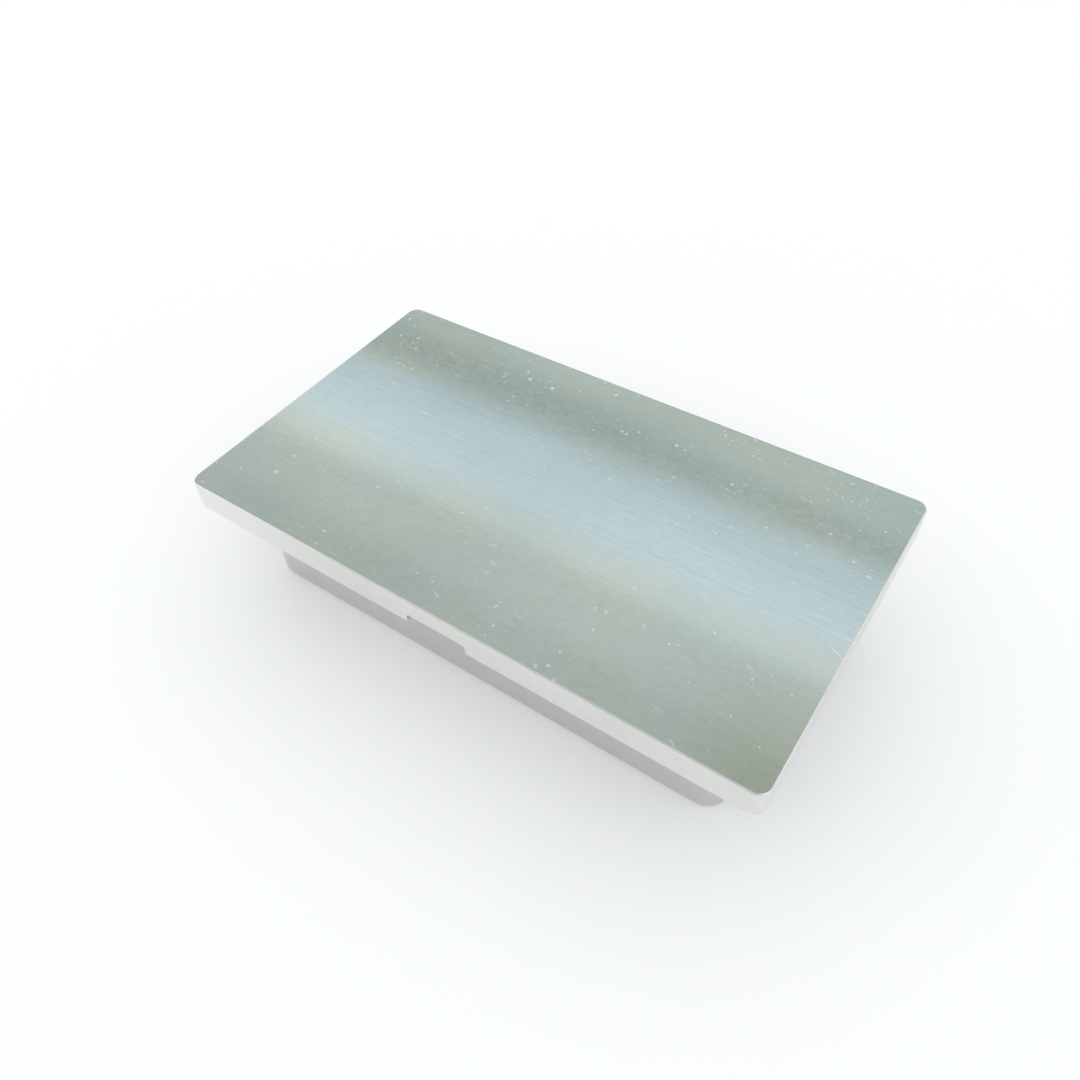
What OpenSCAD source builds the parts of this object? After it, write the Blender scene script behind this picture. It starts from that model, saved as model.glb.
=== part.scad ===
// Hinged business card case: a thick overhanging lid plate on a milled body. Millimetres.
// Origin: centre of the resting plane. +X runs along the long side, -Y is the front
// with the finger notch, +Y is the hinge side and +Z is up.

/* [Cards] */
// Length of the cards that the pocket takes
card_l = 88.9; // [74:0.1:107]
// Width of the cards that the pocket takes
card_w = 50.8; // [42:0.1:61]
// Total play of a card along the pocket
card_play_l = 3.1; // [1:0.1:5]
// Total play of a card across the pocket
card_play_w = 1.4; // [0.6:0.1:3]

/* [Body] */
// Thickness of the end walls, which hold the magnets and the base screws
end_wall = 8.75; // [7.2:0.05:12]
// Thickness of the front and rear walls
long_wall = 2.65; // [2.2:0.05:5]
// Height of the body
body_h = 20.8; // [17:0.1:30]
// Radius of the body's upright edges
body_r = 4.5; // [3.5:0.1:6]
// Radius of the pocket's upright edges
pocket_r = 1.5; // [0.5:0.1:2.5]
// Radius of the finger relief in each end wall
relief_r = 11; // [8:0.5:13]
// Depth of the finger relief into the end wall
relief_depth = 5.5; // [3:0.1:5.8]
// Edge break along the body's top and bottom
body_edge = 0.3; // [0.1:0.05:0.6]

/* [Lid] */
// How far the lid stands out past each end of the body
overhang_x = 8.75; // [4:0.05:12]
// How far the lid stands out past the body's front and rear
overhang_y = 7.25; // [6:0.05:12]
// Thickness of the lid plate
lid_t = 6.8; // [5.6:0.1:9]
// Radius of the lid's upright edges
lid_r = 2.4; // [1:0.1:5]
// Edge break along the lid's top and bottom
lid_edge = 0.25; // [0.1:0.05:0.6]
// Depth of the recess in the lid's underside, which lightens the lid and holds its felt
lid_recess = 3.4; // [1:0.1:4]
// Gap between the body's rim and the closed lid
rim_gap = 0.2; // [0.2:0.05:0.5]
// Width of the finger notch
notch_w = 13.4; // [10:0.1:24]
// Height of the finger notch, up from the lid's underside
notch_h = 2.4; // [1.5:0.1:3.5]
// Depth of the finger notch, in from the lid's front
notch_in = 6; // [3:0.1:7]
// Radius of the notch's upper corners
notch_r = 0.8; // [0.2:0.1:1.2]
// Radius of the notch's lower lips
notch_lip = 0.4; // [0.1:0.1:0.8]

/* [Base] */
// Thickness of the base plate
base_t = 4; // [3:0.1:5]
// Width of the body's wall that is left around the base plate
base_rim = 1.5; // [1:0.1:1.8]
// Thickness of the pad that the case stands on
pad_t = 1; // [0.8:0.1:2]
// Depth of the pad's recess in the base plate
pad_recess = 0.5; // [0.3:0.1:0.7]
// Distance of the base screws from the base plate's front and rear
base_screw_in = 7; // [4:0.5:12]
// Margin between the pad and the base plate's edge or its screw heads
pad_margin = 1.2; // [0.6:0.1:3]
// Radius of the pad's corners
pad_r = 3; // [1:0.5:6]

/* [Lining] */
// Thickness of the felt in the pocket and in the lid
lining_t = 0.8; // [0.5:0.1:1.5]
// Gap around the felt in the pocket
lining_play = 0.3; // [0.2:0.1:1]
// Margin between the lid's recess and the pocket's outline
recess_margin = 2; // [1:0.5:5]

/* [Hinge] */
// Length of the hinge
hinge_l = 70; // [55:1:80]
// Number of knuckles, odd, with the outer ones on the body
knuckles = 5; // [3:2:7]
// Thickness of both leaves
leaf_t = 1; // [0.9:0.05:1.2]
// Reach of each leaf from the pin's axis to its far edge
leaf_reach = 9.5; // [8:0.1:11.5]
// Radius of the barrel
barrel_r = 2; // [1.7:0.05:2.5]
// Radius of the pin
pin_r = 1; // [0.8:0.05:1.2]
// Radial running play between pin and knuckles
pin_play = 0.05; // [0.02:0.01:0.1]
// Gap between neighbouring knuckles
knuckle_gap = 0.15; // [0.1:0.05:0.4]
// Gap between the barrel and the body's rear face, and around the barrel in the lid
barrel_gap = 0.3; // [0.25:0.05:0.6]
// Radius of the rounded heads that hold the pin
pin_head_r = 1.5; // [1.3:0.1:1.9]
// Thickness of the pin's heads
pin_head_t = 0.6; // [0.4:0.1:1]

/* [Screws, magnets and bumpers] */
// Radius of the screws' threads
screw_r = 1; // [0.8:0.1:1.2]
// Radius of the screws' countersunk heads
head_r = 1.75; // [1.5:0.05:2]
// Length of the screws in the lid, with their heads
lid_screw_l = 4; // [3:0.1:5]
// Length of the screws in the base, with their heads
base_screw_l = 8; // [6.5:0.5:10]
// Wall left beyond the tips of the screws in the body's rear wall
rear_skin = 0.7; // [0.5:0.1:1]
// Distance of the outer hinge screws from the hinge's ends
screw_edge = 5; // [4:0.5:8]
// Radius of the magnets
magnet_r = 2.5; // [2:0.1:3]
// Thickness of the magnets
magnet_t = 2; // [1.5:0.1:3]
// Distance of the magnets from the pocket's front corners, towards the middle
magnet_in = 7; // [6:0.5:10]
// Radius of the rim's bumpers
bumper_r = 1.5; // [1:0.1:2]
// Thickness of the bumpers
bumper_t = 0.95; // [0.7:0.05:1.5]
// Distance of the bumpers from the body's front and rear
bumper_in = 4; // [3:0.1:5]

/* [Hidden] */
$fn = 64;
// Radial play of screws, magnets and bumpers in their holes
fit_play = 0.05;
// Play around a part that is let into a recess
seat_play = 0.1;
// How far a magnet lies below its face
magnet_sink = 0.1;
// Free depth beyond a screw's tip
tip_play = 0.2;
// Height of a bumper above the rim, less than the rim's gap
bumper_proud = 0.15;
// Depth and radius of the hexagon drive in each screw
drive_depth = 0.6;
drive_r = 0.7;
// Overrun of every cutting shape
over = 1;

pocket_l = card_l + card_play_l;
pocket_w = card_w + card_play_w;
body_l = pocket_l + 2 * end_wall;
body_w = pocket_w + 2 * long_wall;
lid_l = body_l + 2 * overhang_x;
lid_w = body_w + 2 * overhang_y;

body_z = pad_t - pad_recess;
floor_z = body_z + base_t;
rim_z = body_z + body_h;
lid_z = rim_z + rim_gap;

base_l = body_l - 2 * base_rim;
base_w = body_w - 2 * base_rim;
base_r = body_r - base_rim;
base_screw_x = (pocket_l + base_l) / 4;
base_screw_y = base_w / 2 - base_screw_in;
pad_l = 2 * (base_screw_x - head_r - pad_margin);
pad_w = base_w - 2 * pad_margin;

axis_y = body_w / 2 + barrel_gap + barrel_r;
axis_z = lid_z + leaf_t - barrel_r;
room_r = barrel_r + barrel_gap;
knuckle_l = (hinge_l - (knuckles - 1) * knuckle_gap) / knuckles;
knuckle_pitch = knuckle_l + knuckle_gap;
leaf_screw = (barrel_r + leaf_reach) / 2;
screw_pitch = (hinge_l - 2 * screw_edge) / 3;
head_h = head_r - screw_r;
body_screw_l = leaf_t + long_wall - rear_skin;

magnet_x = pocket_l / 2 + end_wall / 2;
magnet_y = pocket_w / 2 - magnet_in;
bumper_y = body_w / 2 - bumper_in;

recess_l = pocket_l - 2 * recess_margin;
recess_front = recess_margin - pocket_w / 2;
recess_rear = axis_y - leaf_reach - recess_margin;

aluminium = [0.70, 0.75, 0.73];
steel = [0.62, 0.62, 0.64];
felt = [0.36, 0.38, 0.40];

// Copies of a shape at the four corners of a rectangle
module at_corners(x, y) {
    for (sx = [-1, 1], sy = [-1, 1]) translate([sx * x, sy * y, 0]) children();
}

// Copies of a shape at the left and right
module at_sides(x, y) {
    for (sx = [-1, 1]) translate([sx * x, y, 0]) children();
}

// Rectangle with round corners
module round_rect(l, w, r) {
    square([l - 2 * r, w], center = true);
    square([l, w - 2 * r], center = true);
    at_corners(l / 2 - r, w / 2 - r) circle(r);
}

// Upright prism with round corners, standing on z = 0
module round_block(l, w, h, r) {
    linear_extrude(h) round_rect(l, w, r);
}

// Outline of a block seen from the side, with its corners cut off by c
module cut_outline(half, h, c) {
    polygon([[c - half, 0], [half - c, 0], [half, c], [half, h - c],
             [half - c, h], [c - half, h], [-half, h - c], [-half, c]]);
}

// Upright prism with round corners and an edge break c along its top and bottom
module broken_block(l, w, h, r, c) {
    translate([0, w / 2 - r, 0]) rotate([90, 0, 0]) linear_extrude(w - 2 * r) cut_outline(l / 2, h, c);
    translate([r - l / 2, 0, 0]) rotate([90, 0, 90]) linear_extrude(l - 2 * r) cut_outline(w / 2, h, c);
    at_corners(l / 2 - r, w / 2 - r) rotate_extrude()
        polygon([[0, 0], [r - c, 0], [r, c], [r, h - c], [r - c, h], [0, h]]);
}

// Countersunk screw with a hexagon drive: its head's face is at z = 0 and it points up
module screw(l) {
    difference() {
        union() {
            cylinder(h = head_h, r1 = head_r, r2 = screw_r);
            cylinder(h = l, r = screw_r);
        }
        translate([0, 0, -over]) cylinder(h = over + drive_depth, r = drive_r, $fn = 6);
    }
}

// Hole for that screw, with its countersink
module screw_hole(l) {
    translate([0, 0, -over]) cylinder(h = over, r = head_r + fit_play);
    cylinder(h = head_h, r1 = head_r + fit_play, r2 = screw_r + fit_play);
    cylinder(h = l + tip_play, r = screw_r + fit_play);
}

// Places along the hinge, for the screws in each leaf
module along_hinge() {
    for (i = [-1.5 : 1.5]) translate([i * screw_pitch, 0, 0]) children();
}

// The lid leaf's screw places, with z pointing up into the lid
module at_lid_screws() {
    translate([0, axis_y - leaf_screw, lid_z]) along_hinge() children();
}

// The body leaf's screw places, with z pointing forward into the rear wall
module at_body_screws() {
    translate([0, body_w / 2 + leaf_t, axis_z - leaf_screw]) along_hinge() rotate([90, 0, 0]) children();
}

// Base screw places, with z pointing up into the end walls
module at_base_screws() {
    translate([0, 0, body_z]) at_corners(base_screw_x, base_screw_y) children();
}

// Rod along the hinge's axis
module axis_rod(l, r) {
    translate([-l / 2, axis_y, axis_z]) rotate([0, 90, 0]) cylinder(h = l, r = r);
}

// Places of every second knuckle along the hinge, from the first one given
module every_second_knuckle(first) {
    for (i = [first : 2 : knuckles - 1])
        translate([(i - (knuckles - 1) / 2) * knuckle_pitch, 0, 0]) children();
}

// Space around the other leaf's knuckles, open to the rear and the top
module knuckle_room(first) {
    every_second_knuckle(first)
        translate([-knuckle_l / 2 - knuckle_gap, axis_y - room_r - seat_play, axis_z - room_r])
        cube([knuckle_l + 2 * knuckle_gap, 4 * barrel_r, 4 * barrel_r]);
}

module case_body() {
    color(aluminium) difference() {
        translate([0, 0, body_z]) broken_block(body_l, body_w, body_h, body_r, body_edge);
        translate([0, 0, body_z - over]) round_block(pocket_l, pocket_w, body_h + 2 * over, pocket_r);
        translate([0, 0, body_z - over])
            round_block(base_l + 2 * seat_play, base_w + 2 * seat_play, base_t + over, base_r + seat_play);
        translate([0, 0, floor_z - over]) at_sides(pocket_l / 2 + relief_depth - relief_r, 0)
            cylinder(h = body_h, r = relief_r);
        translate([0, 0, rim_z - magnet_t - magnet_sink]) at_sides(magnet_x, -magnet_y)
            cylinder(h = magnet_t + over, r = magnet_r + fit_play);
        translate([0, 0, rim_z + bumper_proud - bumper_t]) at_corners(magnet_x, bumper_y)
            cylinder(h = bumper_t + over, r = bumper_r + fit_play);
        at_base_screws() screw_hole(base_screw_l);
        at_body_screws() screw_hole(body_screw_l);
    }
}

module base_plate() {
    color(aluminium) difference() {
        translate([0, 0, body_z]) round_block(base_l, base_w, base_t, base_r);
        translate([0, 0, body_z - over])
            round_block(pad_l + 2 * seat_play, pad_w + 2 * seat_play, pad_recess + over, pad_r + seat_play);
        at_base_screws() screw_hole(base_screw_l);
    }
}

module base_screws() {
    color(steel) at_base_screws() screw(base_screw_l);
}

module base_pad() {
    color([0.16, 0.17, 0.18]) round_block(pad_l, pad_w, pad_t, pad_r);
}

module floor_lining() {
    color(felt) translate([0, 0, floor_z])
        round_block(pocket_l - 2 * lining_play, pocket_w - 2 * lining_play, lining_t, pocket_r);
}

module body_magnets() {
    color(steel) translate([0, 0, rim_z - magnet_t - magnet_sink]) at_sides(magnet_x, -magnet_y)
        cylinder(h = magnet_t, r = magnet_r);
}

module rim_bumpers() {
    color([0.85, 0.87, 0.88]) translate([0, 0, rim_z + bumper_proud - bumper_t])
        at_corners(magnet_x, bumper_y) cylinder(h = bumper_t, r = bumper_r);
}

module hinge_leaf_body() {
    color(steel) difference() {
        union() {
            translate([-hinge_l / 2, body_w / 2, axis_z - leaf_reach]) cube([hinge_l, leaf_t, leaf_reach]);
            every_second_knuckle(0) axis_rod(knuckle_l, barrel_r);
        }
        knuckle_room(1);
        axis_rod(hinge_l + 2 * over, pin_r + pin_play);
        at_body_screws() screw_hole(body_screw_l);
    }
}

module hinge_screws_body() {
    color(steel) at_body_screws() screw(body_screw_l);
}

module hinge_pin() {
    color(steel) {
        axis_rod(hinge_l, pin_r);
        for (side = [0, 1]) mirror([side, 0, 0]) translate([hinge_l / 2, axis_y, axis_z])
            rotate([0, 90, 0]) cylinder(h = pin_head_t, r1 = pin_head_r, r2 = pin_r);
    }
}

// Outline of the finger notch seen from the front, open below
module notch_outline() {
    translate([-notch_w / 2, -over]) square([notch_w, over + notch_h - notch_r]);
    translate([notch_r - notch_w / 2, 0]) square([notch_w - 2 * notch_r, notch_h]);
    for (side = [-1, 1]) {
        translate([side * (notch_w / 2 - notch_r), notch_h - notch_r]) circle(notch_r);
        difference() {
            translate([side * notch_w / 2, 0]) square(2 * notch_lip, center = true);
            translate([side * (notch_w / 2 + notch_lip), notch_lip]) circle(notch_lip);
        }
    }
}

// Block in the plan of the lid's recess, smaller by a play all round
module recess_block(play, h) {
    translate([0, (recess_front + recess_rear) / 2, 0])
        round_block(recess_l - 2 * play, recess_rear - recess_front - 2 * play, h, pocket_r);
}

module lid_plate() {
    color(aluminium) difference() {
        translate([0, 0, lid_z]) broken_block(lid_l, lid_w, lid_t, lid_r, lid_edge);
        translate([0, notch_in - lid_w / 2, lid_z]) rotate([90, 0, 0]) linear_extrude(notch_in + over)
            notch_outline();
        translate([0, 0, lid_z - over]) recess_block(0, over + lid_recess);
        translate([0, 0, lid_z - over]) at_sides(magnet_x, -magnet_y)
            cylinder(h = over + magnet_sink + magnet_t, r = magnet_r + fit_play);
        translate([-hinge_l / 2 - seat_play, axis_y - leaf_reach - seat_play, lid_z - over])
            cube([hinge_l + 2 * seat_play, leaf_reach + seat_play, over + leaf_t]);
        axis_rod(hinge_l + 2 * (pin_head_t + barrel_gap), room_r);
        at_lid_screws() screw_hole(lid_screw_l);
    }
}

module lid_lining() {
    color(felt) translate([0, 0, lid_z + lid_recess - lining_t]) recess_block(lining_play, lining_t);
}

module lid_magnets() {
    color(steel) translate([0, 0, lid_z + magnet_sink]) at_sides(magnet_x, -magnet_y)
        cylinder(h = magnet_t, r = magnet_r);
}

module hinge_leaf_lid() {
    color(steel) difference() {
        union() {
            translate([-hinge_l / 2, axis_y - leaf_reach, lid_z]) cube([hinge_l, leaf_reach, leaf_t]);
            every_second_knuckle(1) axis_rod(knuckle_l, barrel_r);
        }
        knuckle_room(0);
        axis_rod(hinge_l + 2 * over, pin_r + pin_play);
        at_lid_screws() screw_hole(lid_screw_l);
    }
}

module hinge_screws_lid() {
    color(steel) at_lid_screws() screw(lid_screw_l);
}

case_body();
base_plate();
base_screws();
base_pad();
floor_lining();
body_magnets();
rim_bumpers();
hinge_leaf_body();
hinge_screws_body();
hinge_pin();
lid_plate();
lid_lining();
lid_magnets();
hinge_leaf_lid();
hinge_screws_lid();
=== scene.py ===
"""Looks of a hinged aluminium business card case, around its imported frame.

The file is laid out as an add-on and run as a script: it loads the frame, registers the classes,
finishes the metal parts, makes the felt and the base pad, and sets the stage.
"""

import math

import bpy
from bpy.props import FloatProperty, FloatVectorProperty, PointerProperty
from mathutils import Matrix, Vector, noise


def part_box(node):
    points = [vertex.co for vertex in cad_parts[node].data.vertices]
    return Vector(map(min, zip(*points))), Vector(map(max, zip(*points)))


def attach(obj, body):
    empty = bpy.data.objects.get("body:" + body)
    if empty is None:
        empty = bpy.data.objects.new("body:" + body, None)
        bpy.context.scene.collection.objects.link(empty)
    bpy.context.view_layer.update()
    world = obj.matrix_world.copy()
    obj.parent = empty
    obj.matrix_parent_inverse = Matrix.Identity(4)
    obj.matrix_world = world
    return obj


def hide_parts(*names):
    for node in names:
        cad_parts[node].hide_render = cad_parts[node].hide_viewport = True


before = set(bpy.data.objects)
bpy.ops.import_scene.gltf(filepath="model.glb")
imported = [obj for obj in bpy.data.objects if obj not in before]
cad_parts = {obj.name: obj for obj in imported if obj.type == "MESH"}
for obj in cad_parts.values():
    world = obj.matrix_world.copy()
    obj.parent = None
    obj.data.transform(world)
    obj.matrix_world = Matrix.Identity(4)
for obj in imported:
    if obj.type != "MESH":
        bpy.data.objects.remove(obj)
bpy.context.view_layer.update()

bl_info = {
    "name": "Card Case Looks",
    "version": (1, 0, 0),
    "blender": (4, 5, 0),
    "location": "View3D > Sidebar > Card Case",
    "description": "Finishes, soft parts and studio of a hinged aluminium card case",
    "category": "Object",
}

MM = 0.001
LID_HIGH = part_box("lid_plate")[1]

# How bright the body's and the base plate's metal is, as a share of the sides' colour. This darkening is
# painted shade, for the shade under the lid's overhang.
BODY_PAINTED_SHADE = 0.83
BASE_PAINTED_SHADE = 0.76

# Broken edges. Below FINE_EDGE in width, the shading keeps its sharp borders.
JOIN_WITHIN = 0.5e-6
FLAT_WITHIN = math.radians(0.5)
SHARP_FROM = math.radians(60)
FINE_EDGE = 0.1 * MM

# The felt's and the pad's corners, edges and grid spacing.
ROLL_STEPS = 5
SAME_POINT = 1e-6
FELT_CORNER = 1.5 * MM
FELT_PITCH = 1.6 * MM
FELT_WAVE_LENGTH = 9 * MM
PAD_CORNER = 3 * MM
PAD_ROLL = 0.25 * MM
PAD_PITCH = 3 * MM
RIB_FADE = 0.5 * MM

FLOOR_HALF = 6.0
FLOOR_GLOW = 0.14

# Where the camera looks on the lid's top, as shares of the lid's length from its middle.
AIM_RIGHT = 0.0476
AIM_FRONT = 0.088

# Each lamp's name, place, target, width and height, glow (1 is white) and tint. Lengths in metres.
LAMPS = (
    ("sky band", (-0.42, 0.520, 0.66), (-0.42, 0, 0), (1.2, 0.135), 0.34, (0.84, 0.93, 1.0)),
    ("band's fringe", (-0.42, 0.396, 0.66), (-0.42, 0, 0), (1.2, 0.085), 0.11, (0.92, 0.97, 0.97)),
    ("rear strip", (-0.35, 0.77, 0.62), (-0.39, 0, 0), (1.5, 0.20), 0.20, (0.96, 1.0, 0.96)),
    ("right box", (0.75, -0.25, 0.40), (0, 0, 0), (0.6, 0.5), 0.4, (0.74, 0.86, 1.0)),
    ("left box", (-0.85, -0.55, 0.52), (0, 0, 0), (0.6, 0.5), 0.45, (1.0, 0.96, 0.90)),
)


# ---------------------------------------------------------------- settings

def length(name, text, default):
    """A length in metres, given in millimetres."""
    metres = default * MM
    return FloatProperty(name=name, description=text, default=metres, min=0, unit="LENGTH", precision=5)


def share(name, text, default, top=1.0):
    """A plain factor."""
    return FloatProperty(name=name, description=text, default=default, min=0, max=top, subtype="FACTOR")


def colour(name, text, default):
    """A scene-linear colour."""
    return FloatVectorProperty(name=name, description=text, default=default, min=0, max=1, subtype="COLOR")


class CARDCASE_PG_metal(bpy.types.PropertyGroup):
    """Bare aluminium, as milled"""
    tint: colour("Aluminium", "Colour of the bare aluminium", (0.69, 0.72, 0.70))
    warm: colour("Rubbed", "Colour where handling has warmed it", (0.72, 0.725, 0.675))
    # Painted reflection: the tint of a bluish light band seen in the lid's top, laid on the last tool pass.
    band_reflection: colour("Reflected band", "Painted reflection of a light band, on the last tool pass", (0.67, 0.745, 0.82))
    # Painted light: a lighter, more neutral copy of the aluminium for the sides, which reflect the bright
    # floor; the body's and base plate's colours start from it.
    side: colour("Sides", "Painted lighter colour of the sides", (0.77, 0.765, 0.745))
    # Painted shade: the darker, yellower tint of the lid's front right corner.
    corner_shade_tint: colour("Shaded corner", "Painted shade of the front right corner", (0.60, 0.61, 0.52))
    face_gloss: share("Face roughness", "Roughness of the lid's top face", 0.11)
    side_gloss: share("Side roughness", "Roughness of the profiled sides", 0.30)
    # The last pass's stripe also carries the painted band reflection, over this width.
    pass_width: length("Tool pass", "Width of the last tool pass along the lid", 21.0)
    pass_shift: length("Pass offset", "How far the last pass lies behind the lid's middle", 3.8)
    streak: share("Streaks", "Strength of the tool streaks", 0.22)
    speck: share("Dings", "Share of the surface cells that hold a ding", 0.19)
    edge: length("Edge", "Width of the broken sharp edges", 0.12)


class CARDCASE_PG_hardware(bpy.types.PropertyGroup):
    """Hinge, screws, magnets and bumpers"""
    steel: colour("Steel", "Colour of the hinge and the screws", (0.56, 0.56, 0.57))
    nickel: colour("Nickel", "Colour of the magnets' plating", (0.70, 0.68, 0.64))
    silicone: colour("Silicone", "Colour of the bumpers", (0.78, 0.80, 0.81))
    edge: length("Edge", "Width of the broken edges", 0.08)


class CARDCASE_PG_soft(bpy.types.PropertyGroup):
    """Felt linings and the base pad"""
    felt: colour("Felt", "Colour of the wool felt", (0.105, 0.112, 0.122))
    felt_light: colour("Felt fibres", "Colour of the felt's paler fibres", (0.26, 0.27, 0.29))
    felt_roll: length("Felt edge", "Radius of the felt's cut edge", 0.35)
    felt_wave: length("Felt unevenness", "Height of the felt's soft unevenness", 0.05)
    pad: colour("Pad", "Colour of the rubber pad", (0.030, 0.031, 0.033))
    rib_pitch: length("Rib pitch", "Distance between the pad's ribs", 2.2)
    rib_depth: length("Rib depth", "Depth of the grooves between the ribs", 0.28)
    rib_border: length("Rib border", "Plain border around the ribs", 3.0)


class CARDCASE_PG_stage(bpy.types.PropertyGroup):
    """Floor, light and camera"""
    floor: colour("Floor", "Colour of the floor", (0.86, 0.86, 0.86))
    wall: colour("Studio wall", "What polished metal sees low at the back", (0.38, 0.46, 0.44))
    ceiling: colour("Studio ceiling", "What polished metal sees elsewhere", (0.50, 0.57, 0.545))
    ambient: share("Ambient", "Strength of the even light", 0.97, 4.0)
    lens: FloatProperty(name="Lens", description="Focal length in millimetres", default=30.49, min=1)
    distance: length("Distance", "Camera to the point it looks at", 171.0)
    azimuth: FloatProperty(
        name="Azimuth", description="Round from the front", default=math.radians(36.91), subtype="ANGLE"
    )
    elevation: FloatProperty(
        name="Elevation", description="Above the horizon", default=math.radians(47.80), subtype="ANGLE"
    )
    roll: FloatProperty(
        name="Roll", description="About the line of sight", default=math.radians(-3.38), subtype="ANGLE"
    )


class CARDCASE_PG_settings(bpy.types.PropertyGroup):
    """All settings of the card case"""
    metal: PointerProperty(type=CARDCASE_PG_metal)
    hardware: PointerProperty(type=CARDCASE_PG_hardware)
    soft: PointerProperty(type=CARDCASE_PG_soft)
    stage: PointerProperty(type=CARDCASE_PG_stage)


# ---------------------------------------------------------------- node helpers

class Graph:
    """A node tree that is built one node at a time."""

    def __init__(self, tree):
        self.tree = tree
        self.tree.nodes.clear()

    def add(self, kind, inputs=None, **attributes):
        """A node of that kind. An input is a plain value or another node's output."""
        made = self.tree.nodes.new(kind)
        for name, value in attributes.items():
            setattr(made, name, value)
        for name, value in (inputs or {}).items():
            if isinstance(value, bpy.types.NodeSocket):
                self.tree.links.new(value, made.inputs[name])
            else:
                made.inputs[name].default_value = value
        return made

    def math(self, operation, *values):
        """Arithmetic on one to three values."""
        return self.add("ShaderNodeMath", dict(enumerate(values)), operation=operation).outputs[0]

    def step(self, value, low, high, bottom=0.0, top=1.0):
        """A smooth rise from bottom to top while the value goes from low to high."""
        inputs = {0: value, 1: low, 2: high, 3: bottom, 4: top}
        return self.add("ShaderNodeMapRange", inputs, interpolation_type="SMOOTHSTEP").outputs[0]

    def stripe(self, value, middle, half, soft):
        """1 within half of the middle, falling to 0 over the soft width."""
        away = self.math("ABSOLUTE", self.math("SUBTRACT", value, middle))
        return self.step(away, half - soft, half + soft, 1.0, 0.0)

    def mix(self, amount, first, second, blend="MIX"):
        """A mix of two colours."""
        made = self.add("ShaderNodeMix", data_type="RGBA", blend_type=blend)
        for index, value in ((0, amount), (6, first), (7, second)):
            if isinstance(value, bpy.types.NodeSocket):
                self.tree.links.new(value, made.inputs[index])
            else:
                made.inputs[index].default_value = value if index == 0 else (*value, 1)
        return made.outputs[2]

    def millimetres(self):
        """The object's own coordinates, in millimetres."""
        point = self.add("ShaderNodeTexCoord").outputs["Object"]
        return self.placed(point, scale=(1 / MM,) * 3)

    def placed(self, vector, move=(0, 0, 0), turn=(0, 0, 0), scale=(1, 1, 1)):
        """Coordinates that are moved, turned and stretched."""
        inputs = {"Vector": vector, "Location": move, "Rotation": turn, "Scale": scale}
        return self.add("ShaderNodeMapping", inputs).outputs[0]

    def noise(self, vector, scale=1.0, detail=2.0, rough=0.5):
        """Soft noise around 0.5."""
        inputs = {"Vector": vector, "Scale": scale, "Detail": detail, "Roughness": rough}
        return self.add("ShaderNodeTexNoise", inputs).outputs[0]

    def vector(self, operation, *values):
        """Arithmetic on vectors."""
        return self.add("ShaderNodeVectorMath", dict(enumerate(values)), operation=operation).outputs[0]

    def darkened(self, amount, tint):
        """The tint, darker where the amount is less than 1."""
        return self.mix(amount, (0, 0, 0), tint)

    def seen_ray(self):
        """1 for what the camera sees, straight or in metal and glass, and 0 for what only lights."""
        ray = self.add("ShaderNodeLightPath").outputs
        seen = self.math("MAXIMUM", ray["Is Camera Ray"], ray["Is Glossy Ray"])
        return self.math("MAXIMUM", seen, ray["Is Transmission Ray"])

    def bump(self, height, strength, distance, normal=None):
        """A bumped normal; the distance is in metres."""
        made = self.add("ShaderNodeBump", {"Height": height, "Strength": strength, "Distance": distance})
        if normal is not None:
            self.tree.links.new(normal, made.inputs["Normal"])
        return made.outputs[0]

    def split(self, vector):
        """The three parts of a vector."""
        return self.add("ShaderNodeSeparateXYZ", {0: vector}).outputs


def surface(name, build, **values):
    """A material with one Principled shader. build(graph, shader) adds what varies."""
    material = bpy.data.materials.new(name)
    material.use_nodes = True
    graph = Graph(material.node_tree)
    shader = graph.add("ShaderNodeBsdfPrincipled", {k.replace("_", " "): v for k, v in values.items()})
    output = graph.add("ShaderNodeOutputMaterial")
    graph.tree.links.new(shader.outputs[0], output.inputs["Surface"])
    build(graph, shader)
    return material


def link(graph, shader, **sockets):
    """Links outputs to the shader's sockets by name."""
    for name, socket in sockets.items():
        graph.tree.links.new(socket, shader.inputs[name.replace("_", " ")])


# ---------------------------------------------------------------- materials

def dings(graph, point, cell, radius, chance, dimensions="2D"):
    """Small irregular dents in some cells of a grid: 1 inside a dent and 0 outside."""
    wobble = graph.add("ShaderNodeTexNoise", {"Vector": point, "Scale": 2.3, "Detail": 1.0}).outputs[1]
    shifted = graph.vector("SUBTRACT", wobble, (0.5, 0.5, 0.5))
    bent = graph.vector("MULTIPLY_ADD", shifted, (0.8, 0.8, 0.8), point)
    inputs = {"Vector": bent, "Scale": 1 / cell}
    cells = graph.add("ShaderNodeTexVoronoi", inputs, voronoi_dimensions=dimensions).outputs
    parts = graph.add("ShaderNodeSeparateColor", {0: cells["Color"]}).outputs
    size = graph.math("MULTIPLY_ADD", parts[1], radius / cell, 0.35 * radius / cell)
    dot = graph.math("LESS_THAN", cells["Distance"], size)
    return graph.math("MULTIPLY", dot, graph.math("LESS_THAN", parts[0], chance))


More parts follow.
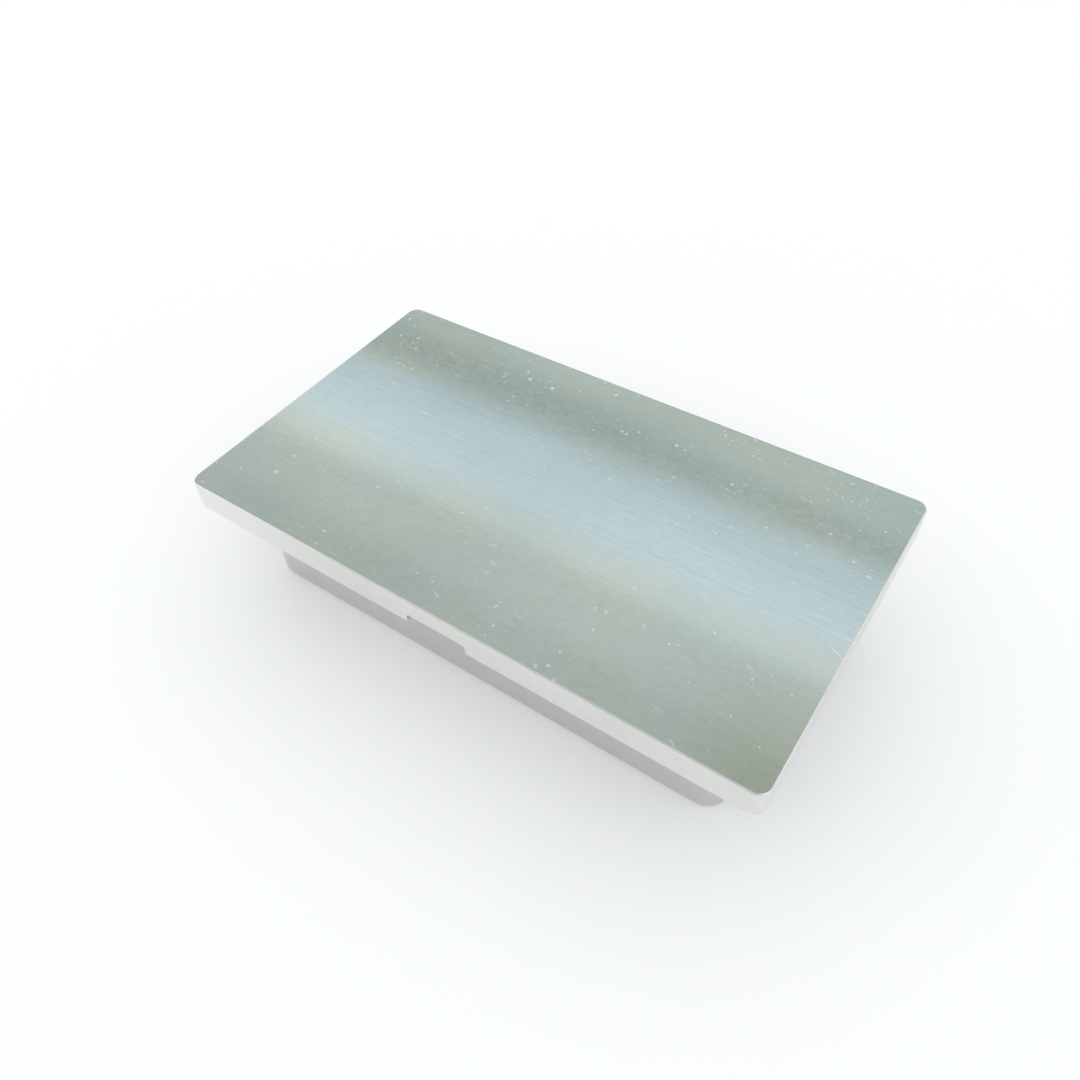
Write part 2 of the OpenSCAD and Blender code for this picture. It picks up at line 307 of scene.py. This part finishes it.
def scratches(graph, point, turn, chance, pitch=7.0, width=0.09):
    """Short hairline scratches in about one direction: 1 on a scratch and 0 beside it."""
    wobble = graph.add("ShaderNodeTexNoise", {"Vector": point, "Scale": 0.35, "Detail": 1.0}).outputs[1]
    bent = graph.vector("MULTIPLY_ADD", wobble, (0.8, 0.8, 0.8), point)
    along = graph.placed(bent, turn=(0, 0, turn), scale=(1 / pitch, 1 / (pitch * 0.35), 1))
    inputs = {"Vector": along, "Scale": 1.0}
    cells = graph.add("ShaderNodeTexVoronoi", inputs, voronoi_dimensions="2D").outputs
    parts = graph.add("ShaderNodeSeparateColor", {0: cells["Color"]}).outputs
    x, y, _ = graph.split(graph.vector("SUBTRACT", along, cells["Position"]))
    away = graph.math("ABSOLUTE", graph.math("DIVIDE", x, graph.math("MULTIPLY_ADD", parts[1], 0.26, 0.04)))
    thin = graph.math("MULTIPLY", graph.step(away, 0.3, 1.0, 1.0, 0.0), width / (pitch * 0.35) / 2)
    line = graph.math("LESS_THAN", graph.math("ABSOLUTE", y), thin)
    return graph.math("MULTIPLY", line, graph.math("LESS_THAN", parts[0], chance))


def milled_lid(metal):
    """The lid: a fly-cut face with one last tool pass along its middle, dings, scratches and rubbed patches
    from handling. Painted on it are a reflection of a bluish light band on the last pass, lighter sides,
    shade at the front right corner, and glints in the dings and scratches.
    """
    half_l, half_w = LID_HIGH.x / MM, LID_HIGH.y / MM
    pass_shift, pass_half, pass_fade = metal.pass_shift / MM, metal.pass_width / MM / 2, 3.2
    corner_from_end, corner_from_front, front_margin = 24.0, 30.0, 2.0
    rear_from, rear_to = half_w - 30.0, half_w - 3.0

    def build(graph, shader):
        point = graph.millimetres()
        x, y, _ = graph.split(point)
        up = graph.split(graph.add("ShaderNodeTexCoord").outputs["Normal"])[2]
        side = graph.math("SUBTRACT", 1.0, graph.step(graph.math("ABSOLUTE", up), 0.8, 0.97))
        top = graph.step(up, 0.8, 0.97)

        # Tool marks: long fine lines, strongest in the last pass.
        lines = graph.noise(graph.placed(point, scale=(0.012, 2.3, 2.3)), detail=4.0, rough=0.7)
        dashes = graph.noise(graph.placed(point, scale=(0.11, 5.0, 5.0)), detail=3.0, rough=0.6)
        broken = graph.noise(graph.placed(point, scale=(0.05, 0.3, 0.3)), detail=2.0)
        shift = graph.math("MULTIPLY_ADD", broken, 4.0, pass_shift - 2.0)
        # The last pass's stripe holds the real tool streaks and also the painted reflection of a bluish
        # light band.
        last = graph.stripe(graph.math("SUBTRACT", y, shift), 0.0, pass_half, pass_fade)
        last = graph.math("MULTIPLY", last, top)
        bright, dark = graph.step(dashes, 0.60, 0.68), graph.step(dashes, 0.30, 0.38, 1.0, 0.0)
        dash = graph.math("MULTIPLY", graph.math("SUBTRACT", bright, dark), last)

        # Rubbed patches from handling, and painted shade: a darker, yellower corner at the front right.
        cloud = graph.noise(graph.placed(point, scale=(0.020, 0.045, 0.045)), detail=3.0)
        warm = graph.noise(graph.placed(point, move=(3.1, 7.7, 0), scale=(0.03, 0.05, 0.03)), detail=2.0)
        wiped = graph.placed(point, turn=(0, 0, 0.7), scale=(0.25, 1.1, 1.1))
        rubbed = graph.noise(wiped, detail=5.0, rough=0.65)
        mottle = graph.noise(point, 0.8, 5.0, 0.7)
        corner_x = graph.step(x, half_l - corner_from_end, half_l)
        corner_y = graph.step(y, front_margin - half_w, corner_from_front - half_w, 1.0, 0.0)
        shaded_corner = graph.math("MULTIPLY", graph.math("MULTIPLY", corner_x, corner_y), top)

        # Wear: dings and hairlines, crowded towards the rear and in patches.
        rear = graph.step(y, rear_from, rear_to)
        patch = graph.step(graph.noise(graph.placed(point, move=(0, 9.0, 0)), 0.07, 2.0), 0.42, 0.66)
        crowd = graph.math("MULTIPLY_ADD", rear, metal.speck, 0.35 * metal.speck)
        crowd = graph.math("MULTIPLY", crowd, graph.math("MULTIPLY_ADD", patch, 1.9, 0.3))
        small = dings(graph, point, 2.1, 0.22, crowd)
        large = dings(graph, graph.placed(point, move=(11.3, 4.9, 0)), 6.5, 0.36, crowd)
        marks = graph.math("MULTIPLY", graph.math("MAXIMUM", small, large), top)
        worn = graph.math("MULTIPLY", graph.step(x, 0.1 * half_l, 0.8 * half_l), rear)
        worn = graph.math("MULTIPLY_ADD", worn, 0.9, 0.03)
        crowded = scratches(graph, point, 0.95, worn, 6.0, 0.15)
        sparse = scratches(graph, point, -1.1, 0.03)
        along = scratches(graph, point, 0.15, 0.06, 5.0, 0.08)
        hairs = graph.math("MAXIMUM", graph.math("MAXIMUM", crowded, sparse), along)
        hairs = graph.math("MULTIPLY", hairs, top)

        tone = graph.mix(graph.step(warm, 0.40, 0.62), metal.tint, metal.warm)
        # Painted reflection: a bluish, lighter tint on the last pass, for a light band that the top
        # reflects.
        tone = graph.mix(graph.math("MULTIPLY", last, 0.55), tone, metal.band_reflection)
        # Painted shade: the front right corner darkens towards the corner tint.
        tone = graph.mix(shaded_corner, tone, metal.corner_shade_tint)
        # Painted light: the side faces take the lighter side colour.
        tone = graph.mix(side, tone, metal.side)
        shade = graph.math("MULTIPLY_ADD", cloud, 0.24, 0.88)
        strength = graph.math("MULTIPLY_ADD", last, 0.88 * metal.streak, 0.12 * metal.streak)
        for part, share_of in ((lines, strength), (rubbed, 0.14), (mottle, 0.14)):
            shade = graph.math("MULTIPLY_ADD", graph.math("SUBTRACT", part, 0.5), share_of, shade)
        shade = graph.math("MULTIPLY_ADD", dash, 0.09, shade)
        grey = graph.add("ShaderNodeCombineColor", {0: shade, 1: shade, 2: shade}).outputs[0]
        tone = graph.mix(1.0, tone, grey, "MULTIPLY")
        # The dings and hairlines are real dents, bumped below; their near-white colour is a painted glint.
        tone = graph.mix(graph.math("MULTIPLY", hairs, 0.9), tone, (0.92, 0.94, 0.93))
        tone = graph.mix(graph.math("MULTIPLY", marks, 0.9), tone, (0.97, 0.98, 0.97))

        gloss = graph.math("MULTIPLY_ADD", mottle, 0.10, metal.face_gloss - 0.05)
        gloss = graph.math("MULTIPLY_ADD", marks, 0.25, gloss)
        gloss = graph.math("MULTIPLY_ADD", side, metal.side_gloss - metal.face_gloss, gloss)

        normal = graph.bump(graph.math("MULTIPLY_ADD", last, lines, lines), 0.10, 0.02 * MM)
        normal = graph.bump(rubbed, 0.05, 0.05 * MM, normal)
        normal = graph.bump(graph.math("MAXIMUM", marks, hairs), 0.5, -0.04 * MM, normal)
        link(graph, shader, Base_Color=tone, Roughness=gloss, Normal=normal)

    return surface("milled aluminium", build, Metallic=1.0)


def satin_aluminium(metal, name, painted_shade):
    """The body and the base plate: profiled and lightly blasted, with faint cutter lines. Their colour is
    the lighter side colour darkened by painted shade, for the shade under the lid.
    """
    # Painted shade: the sides' colour, scaled down for the shade under the lid's overhang.
    base = tuple(painted_shade * part for part in metal.side)

    def build(graph, shader):
        point = graph.millimetres()
        cloud = graph.noise(graph.placed(point, scale=(0.03, 0.03, 0.06)), detail=3.0)
        lines = graph.noise(graph.placed(point, scale=(0.02, 0.02, 3.0)), detail=3.0)
        grain = graph.noise(point, 4.0, 2.0, 0.6)
        shade = graph.math("MULTIPLY_ADD", cloud, 0.16, 0.92)
        shade = graph.math("MULTIPLY_ADD", graph.math("SUBTRACT", lines, 0.5), 0.10, shade)
        nicks = dings(graph, point, 9.0, 0.16, 0.10, "3D")
        tone = graph.darkened(shade, base)
        # The nicks are real marks; their near-white colour is a painted glint, as on the lid.
        tone = graph.mix(graph.math("MULTIPLY", nicks, 0.7), tone, (0.95, 0.95, 0.94))
        gloss = graph.math("MULTIPLY_ADD", grain, 0.10, metal.side_gloss - 0.05)
        normal = graph.bump(grain, 0.12, 0.02 * MM)
        normal = graph.bump(lines, 0.08, 0.02 * MM, normal)
        link(graph, shader, Base_Color=tone, Roughness=gloss, Normal=normal)

    return surface(name, build, Metallic=1.0)


def brushed_steel(hardware):
    """Stainless steel, brushed along the hinge."""
    def build(graph, shader):
        point = graph.millimetres()
        lines = graph.noise(graph.placed(point, scale=(0.08, 6.0, 6.0)), detail=3.0, rough=0.65)
        cloud = graph.noise(point, 0.12, 2.0)
        shade = graph.math("MULTIPLY_ADD", graph.math("SUBTRACT", lines, 0.5), 0.35, 1.0)
        shade = graph.math("MULTIPLY", shade, graph.math("MULTIPLY_ADD", cloud, 0.2, 0.9))
        tone = graph.darkened(shade, hardware.steel)
        gloss = graph.math("MULTIPLY_ADD", lines, 0.16, 0.20)
        link(graph, shader, Base_Color=tone, Roughness=gloss, Normal=graph.bump(lines, 0.15, 0.02 * MM))

    return surface("brushed steel", build, Metallic=1.0)


def nickel_plate(hardware):
    """Bright nickel with faint rub marks."""
    def build(graph, shader):
        point = graph.millimetres()
        rub = graph.noise(graph.placed(point, scale=(0.5, 2.0, 0.5)), detail=4.0)
        tone = graph.darkened(graph.math("MULTIPLY_ADD", rub, 0.3, 0.8), hardware.nickel)
        gloss = graph.math("MULTIPLY_ADD", rub, 0.16, 0.06)
        link(graph, shader, Base_Color=tone, Roughness=gloss, Normal=graph.bump(rub, 0.05, 0.02 * MM))

    return surface("nickel plate", build, Metallic=1.0)


def silicone(hardware):
    """Translucent silicone, a little dusty."""
    def build(graph, shader):
        point = graph.millimetres()
        dust = graph.noise(point, 1.4, 4.0, 0.6)
        tone = graph.mix(graph.math("MULTIPLY", dust, 0.3), hardware.silicone, (0.60, 0.60, 0.58))
        gloss = graph.math("MULTIPLY_ADD", dust, 0.25, 0.28)
        link(graph, shader, Base_Color=tone, Roughness=gloss, Normal=graph.bump(dust, 0.1, 0.03 * MM))

    return surface("silicone", build, IOR=1.41, Subsurface_Weight=0.35, Subsurface_Scale=MM)


def wool_felt(soft):
    """Pressed felt: matted fibres of two greys with a soft sheen."""
    def build(graph, shader):
        point = graph.millimetres()
        warp = graph.math("MULTIPLY", graph.noise(point, 0.5, 3.0), 0.35)
        layers = []
        for turn, scale in ((0.6, (1.6, 14.0, 8.0)), (-0.8, (1.9, 17.0, 9.0))):
            laid = graph.placed(point, turn=(0, 0, turn), scale=scale)
            layers.append(graph.math("ADD", graph.noise(laid, detail=3.0), warp))
        fibres = graph.math("MAXIMUM", *layers)
        pale = graph.step(fibres, 0.70, 0.92)
        cloud = graph.noise(point, 0.07, 3.0)
        tone = graph.mix(pale, soft.felt, soft.felt_light)
        tone = graph.darkened(graph.math("MULTIPLY_ADD", cloud, 0.5, 0.75), tone)
        normal = graph.bump(fibres, 0.7, 0.12 * MM)
        link(graph, shader, Base_Color=tone, Normal=normal)

    return surface(
        "wool felt", build, Roughness=0.95, Sheen_Weight=0.35, Sheen_Roughness=0.6, Specular_IOR_Level=0.15
    )


def pad_rubber(soft):
    """Matt moulded rubber with a fine pebble."""
    def build(graph, shader):
        point = graph.millimetres()
        pebble = graph.add("ShaderNodeTexVoronoi", {"Vector": point, "Scale": 2.6}).outputs["Distance"]
        dust = graph.noise(point, 0.25, 4.0, 0.6)
        tone = graph.mix(graph.math("MULTIPLY", dust, 0.35), soft.pad, (0.085, 0.083, 0.080))
        gloss = graph.math("MULTIPLY_ADD", dust, 0.2, 0.52)
        link(graph, shader, Base_Color=tone, Roughness=gloss, Normal=graph.bump(pebble, 0.35, 0.05 * MM))

    return surface("pad rubber", build, Specular_IOR_Level=0.4)


# ---------------------------------------------------------------- shapes

def finish_node(name, material, edge=0.0):
    """Gives a CAD node its material and breaks its square edges, if an edge width is given."""
    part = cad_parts[name]
    part.data.materials.clear()
    part.data.materials.append(material)
    if edge == 0:
        return
    weld = part.modifiers.new("joined faces", "WELD")
    weld.merge_threshold = JOIN_WITHIN
    merged = part.modifiers.new("whole flat faces", "DECIMATE")
    merged.decimate_type = "DISSOLVE"
    merged.angle_limit = FLAT_WITHIN
    bevel = part.modifiers.new("broken edges", "BEVEL")
    bevel.width = edge
    bevel.segments = 2
    bevel.limit_method = "ANGLE"
    bevel.angle_limit = SHARP_FROM
    bevel.use_clamp_overlap = True
    bevel.harden_normals = False
    evened = part.modifiers.new("even shading", "WEIGHTED_NORMAL")
    evened.keep_sharp = edge < FINE_EDGE
    evened.mode = "FACE_AREA"


def edge_lines(half, roll, pitch):
    """Grid lines from -half to half, close together in the rolled edge."""
    inner = max(2, round(2 * (half - roll) / pitch))
    steps = [roll * (1 - math.cos(math.pi / 2 * i / ROLL_STEPS)) for i in range(ROLL_STEPS)]
    left = [-half + step for step in steps]
    middle = [-half + roll + 2 * (half - roll) * i / inner for i in range(inner + 1)]
    return left + middle + [-value for value in reversed(left)]


def depth_inside(x, y, half_x, half_y, corner):
    """Distance in from the edge of a rectangle with round corners."""
    over_x, over_y = abs(x) - half_x + corner, abs(y) - half_y + corner
    if over_x > 0 and over_y > 0:
        return corner - math.hypot(over_x, over_y)
    return corner - max(over_x, over_y)


def pulled_in(x, y, half_x, half_y, corner):
    """The point, moved onto the round corner if it lies outside it."""
    over_x, over_y = abs(x) - half_x + corner, abs(y) - half_y + corner
    reach = math.hypot(over_x, over_y)
    if over_x <= 0 or over_y <= 0 or reach <= corner:
        return x, y
    keep = corner / reach
    return (
        math.copysign(half_x - corner + over_x * keep, x),
        math.copysign(half_y - corner + over_y * keep, y),
    )


def soft_slab(name, low, high, corner, roll, pitch, relief, facing):
    """A thin slab between two corners. Its worked face points up (facing 1) or down (-1):
    it rolls off at the edge and is lowered by relief(x, y, depth); the other face is flat."""
    middle, half = (low + high) / 2, (high - low) / 2
    thick = high.z - low.z
    columns = edge_lines(half.x, roll, pitch[0])
    rows = edge_lines(half.y, roll, pitch[1])
    flat_z, worked_z = (low.z, high.z) if facing > 0 else (high.z, low.z)
    points, faces = [], []
    for worked in (True, False):
        for y in rows:
            for x in columns:
                px, py = pulled_in(x, y, half.x, half.y, corner)
                depth = max(0.0, depth_inside(px, py, half.x, half.y, corner))
                drop = relief(px, py, depth) if worked else 0.0
                if worked and depth < roll:
                    drop += roll * (1 - math.sqrt(1 - (1 - depth / roll) ** 2))
                z = worked_z - facing * min(drop, 0.8 * thick) if worked else flat_z
                points.append((middle.x + px, middle.y + py, z))
    wide, deep = len(columns), len(rows)
    sheet = wide * deep
    for row in range(deep - 1):
        for column in range(wide - 1):
            a = row * wide + column
            faces.append((a, a + 1, a + wide + 1, a + wide))
            faces.append((sheet + a, sheet + a + wide, sheet + a + wide + 1, sheet + a + 1))
    border = list(range(wide))
    border += [row * wide + wide - 1 for row in range(1, deep)]
    border += [(deep - 1) * wide + column for column in range(wide - 2, -1, -1)]
    border += [row * wide for row in range(deep - 2, 0, -1)]
    for here, after in zip(border, border[1:] + border[:1]):
        faces.append((after, here, sheet + here, sheet + after))
    mesh = bpy.data.meshes.new(name)
    mesh.from_pydata(points, [], faces)
    if facing < 0:
        mesh.flip_normals()
    mesh.polygons.foreach_set("use_smooth", [True] * len(mesh.polygons))
    mesh.update()
    piece = bpy.data.objects.new(name, mesh)
    bpy.context.scene.collection.objects.link(piece)
    weld = piece.modifiers.new("joined corners", "WELD")
    weld.merge_threshold = SAME_POINT
    return piece


def felt_sheet(name, node, body, facing, soft, material):
    """A felt lining in the place of its CAD solid."""
    low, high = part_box(node)

    def relief(x, y, depth):
        spot = Vector((x, y, low.z)) / FELT_WAVE_LENGTH
        broad = 0.5 + 0.5 * noise.noise(spot)
        fine = 0.3 * abs(noise.noise(spot * 9))
        return soft.felt_wave * broad + soft.felt_wave * fine

    pitch = (FELT_PITCH, FELT_PITCH)
    piece = soft_slab(name, low, high, FELT_CORNER, soft.felt_roll, pitch, relief, facing)
    piece.data.materials.append(material)
    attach(piece, body)
    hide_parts(node)
    return piece


# ---------------------------------------------------------------- operators

def settings():
    """The card case's settings in this scene."""
    return bpy.context.scene.card_case


class CARDCASE_OT_lid(bpy.types.Operator):
    """Finish the lid plate as milled, dinged and rubbed aluminium, with painted light: a band reflection,
    lighter sides, a shaded corner and glints
    """
    bl_idname = "cardcase.lid"
    bl_label = "Lid plate"

    def execute(self, context):
        metal = settings().metal
        finish_node("lid_plate", milled_lid(metal))
        return {"FINISHED"}


class CARDCASE_OT_body(bpy.types.Operator):
    """Finish the case body and its base plate as satin aluminium"""
    bl_idname = "cardcase.body"
    bl_label = "Case body and base plate"

    def execute(self, context):
        metal = settings().metal
        finish_node("case_body", satin_aluminium(metal, "satin aluminium", BODY_PAINTED_SHADE), metal.edge)
        finish_node("base_plate", satin_aluminium(metal, "base aluminium", BASE_PAINTED_SHADE), metal.edge)
        return {"FINISHED"}


class CARDCASE_OT_hinge(bpy.types.Operator):
    """Finish the hinge's leaves, its pin and all screws as brushed steel"""
    bl_idname = "cardcase.hinge"
    bl_label = "Hinge and screws"

    def execute(self, context):
        hardware = settings().hardware
        steel = brushed_steel(hardware)
        for name in ("hinge_leaf_body", "hinge_leaf_lid", "hinge_pin"):
            finish_node(name, steel, hardware.edge)
        for name in ("hinge_screws_body", "hinge_screws_lid", "base_screws"):
            finish_node(name, steel, hardware.edge / 2)
        return {"FINISHED"}


class CARDCASE_OT_closure(bpy.types.Operator):
    """Finish the magnets and the rim's bumpers"""
    bl_idname = "cardcase.closure"
    bl_label = "Magnets and bumpers"

    def execute(self, context):
        hardware = settings().hardware
        nickel = nickel_plate(hardware)
        finish_node("body_magnets", nickel, 2 * hardware.edge)
        finish_node("lid_magnets", nickel, 2 * hardware.edge)
        finish_node("rim_bumpers", silicone(hardware), 3 * hardware.edge)
        return {"FINISHED"}


class CARDCASE_OT_felt(bpy.types.Operator):
    """Lay the felt in the pocket and in the lid's recess"""
    bl_idname = "cardcase.felt"
    bl_label = "Felt linings"

    def execute(self, context):
        soft = settings().soft
        felt = wool_felt(soft)
        felt_sheet("pocket_felt", "floor_lining", "case", 1, soft, felt)
        felt_sheet("lid_felt", "lid_lining", "lid", -1, soft, felt)
        return {"FINISHED"}


class CARDCASE_OT_pad(bpy.types.Operator):
    """Make the ribbed rubber pad that the case stands on"""
    bl_idname = "cardcase.pad"
    bl_label = "Base pad"

    def execute(self, context):
        soft = settings().soft
        low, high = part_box("base_pad")

        def relief(x, y, depth):
            if depth < soft.rib_border:
                return 0.0
            wave = 0.5 + 0.5 * math.cos(2 * math.pi * y / soft.rib_pitch)
            fade = min(1.0, (depth - soft.rib_border) / RIB_FADE)
            return soft.rib_depth * fade * (1 - min(1.0, 1.6 * wave))

        pitch = (PAD_PITCH, soft.rib_pitch / 12)
        piece = soft_slab("rubber_pad", low, high, PAD_CORNER, PAD_ROLL, pitch, relief, -1)
        piece.data.materials.append(pad_rubber(soft))
        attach(piece, "case")
        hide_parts("base_pad")
        return {"FINISHED"}


def soft_light(name, place, target, size, glow, tint):
    """A soft rectangular lamp that faces the target. Its surface is as bright as glow (1 is white)."""
    data = bpy.data.lights.new(name, "AREA")
    data.shape = "RECTANGLE"
    data.size, data.size_y = size
    data.energy = glow * math.pi * size[0] * size[1]
    data.color = tint
    lamp = bpy.data.objects.new(name, data)
    bpy.context.scene.collection.objects.link(lamp)
    lamp.location = place
    lamp.rotation_euler = (Vector(target) - Vector(place)).to_track_quat("-Z", "Y").to_euler()


def studio_world(stage):
    """White at the horizon, a grey-green wall at the back, a ceiling, and an even ambient light."""
    slope = 0.85  # The wall begins where depth is this many times the height.
    ceiling_to, wall_from = -0.12, 0.08
    white_to, studio_from = 0.22, 0.46
    world = bpy.data.worlds.new("studio")
    bpy.context.scene.world = world
    world.use_nodes = True
    graph = Graph(world.node_tree)
    _, depth, height = graph.split(graph.add("ShaderNodeTexCoord").outputs["Generated"])
    behind = graph.math("MULTIPLY_ADD", height, -slope, depth)
    seen = graph.mix(graph.step(behind, ceiling_to, wall_from), stage.ceiling, stage.wall)
    seen = graph.mix(graph.step(height, white_to, studio_from), (1, 1, 1), seen)
    shown = graph.add("ShaderNodeBackground", {"Color": seen, "Strength": 1.0})
    even = graph.add("ShaderNodeBackground", {"Color": (0.97, 0.99, 1.0, 1), "Strength": stage.ambient})
    inputs = {0: graph.seen_ray(), 1: even.outputs[0], 2: shown.outputs[0]}
    both = graph.add("ShaderNodeMixShader", inputs)
    output = graph.add("ShaderNodeOutputWorld")
    graph.tree.links.new(both.outputs[0], output.inputs["Surface"])


def studio_floor(stage):
    """A wide pale floor that shows white where no shadow falls."""
    half = FLOOR_HALF
    mesh = bpy.data.meshes.new("floor")
    corners = [(-half, -half, 0), (half, -half, 0), (half, half, 0), (-half, half, 0)]
    mesh.from_pydata(corners, [], [(0, 1, 2, 3)])
    floor = bpy.data.objects.new("floor", mesh)
    bpy.context.scene.collection.objects.link(floor)
    material = bpy.data.materials.new("pale floor")
    material.use_nodes = True
    graph = Graph(material.node_tree)
    matt = graph.add("ShaderNodeBsdfDiffuse", {"Color": (*stage.floor, 1)})
    glow = graph.add("ShaderNodeEmission", {"Color": (1, 1, 1, 1), "Strength": FLOOR_GLOW})
    dark = graph.add("ShaderNodeEmission", {"Strength": 0.0})
    inputs = {0: graph.seen_ray(), 1: dark.outputs[0], 2: glow.outputs[0]}
    lift = graph.add("ShaderNodeMixShader", inputs)
    both = graph.add("ShaderNodeAddShader", {0: matt.outputs[0], 1: lift.outputs[0]})
    output = graph.add("ShaderNodeOutputMaterial")
    graph.tree.links.new(both.outputs[0], output.inputs["Surface"])
    mesh.materials.append(material)


def studio_camera(stage):
    """The camera: it looks at a point on the lid, a little right of and before its middle."""
    lid_length = 2 * LID_HIGH.x
    target = Vector((AIM_RIGHT * lid_length, -AIM_FRONT * lid_length, LID_HIGH.z))
    a, e = stage.azimuth, stage.elevation
    back = Vector((math.sin(a) * math.cos(e), -math.cos(a) * math.cos(e), math.sin(e)))
    data = bpy.data.cameras.new("camera")
    data.lens = stage.lens
    data.sensor_width = 36.0
    data.clip_start = 0.01
    camera = bpy.data.objects.new("camera", data)
    bpy.context.scene.collection.objects.link(camera)
    aimed = (-back).to_track_quat("-Z", "Y").to_matrix().to_4x4() @ Matrix.Rotation(stage.roll, 4, "Z")
    camera.matrix_world = Matrix.Translation(target + back * stage.distance) @ aimed
    bpy.context.scene.camera = camera


class CARDCASE_OT_stage(bpy.types.Operator):
    """Set the floor, the light and the camera"""
    bl_idname = "cardcase.stage"
    bl_label = "Stage"

    def execute(self, context):
        stage = settings().stage
        context.scene.view_settings.view_transform = "Standard"
        studio_world(stage)
        studio_floor(stage)
        for lamp in LAMPS:
            soft_light(*lamp)
        studio_camera(stage)
        return {"FINISHED"}


class CARDCASE_PT_panel(bpy.types.Panel):
    """The card case's steps and settings"""
    bl_idname = "CARDCASE_PT_panel"
    bl_label = "Card Case"
    bl_space_type = "VIEW_3D"
    bl_region_type = "UI"
    bl_category = "Card Case"

    def draw(self, context):
        for step in STEPS:
            self.layout.operator(step.bl_idname)
        for group in ("metal", "hardware", "soft", "stage"):
            box = self.layout.box()
            values = getattr(context.scene.card_case, group)
            for name in values.bl_rna.properties.keys():
                if name not in ("rna_type", "name"):
                    box.prop(values, name)


STEPS = (
    CARDCASE_OT_lid,
    CARDCASE_OT_body,
    CARDCASE_OT_hinge,
    CARDCASE_OT_closure,
    CARDCASE_OT_felt,
    CARDCASE_OT_pad,
    CARDCASE_OT_stage,
)
GROUPS = (
    CARDCASE_PG_metal,
    CARDCASE_PG_hardware,
    CARDCASE_PG_soft,
    CARDCASE_PG_stage,
    CARDCASE_PG_settings,
)


def register():
    """Registers the classes and the scene's settings."""
    for cls in (*GROUPS, *STEPS, CARDCASE_PT_panel):
        bpy.utils.register_class(cls)
    bpy.types.Scene.card_case = PointerProperty(type=CARDCASE_PG_settings)


def unregister():
    """Removes the settings and the classes."""
    del bpy.types.Scene.card_case
    for cls in reversed((*GROUPS, *STEPS, CARDCASE_PT_panel)):
        bpy.utils.unregister_class(cls)


def main():
    """Builds everything in order."""
    register()
    bpy.ops.cardcase.lid()
    bpy.ops.cardcase.body()
    bpy.ops.cardcase.hinge()
    bpy.ops.cardcase.closure()
    bpy.ops.cardcase.felt()
    bpy.ops.cardcase.pad()
    bpy.ops.cardcase.stage()


if __name__ == "__main__":
    main()
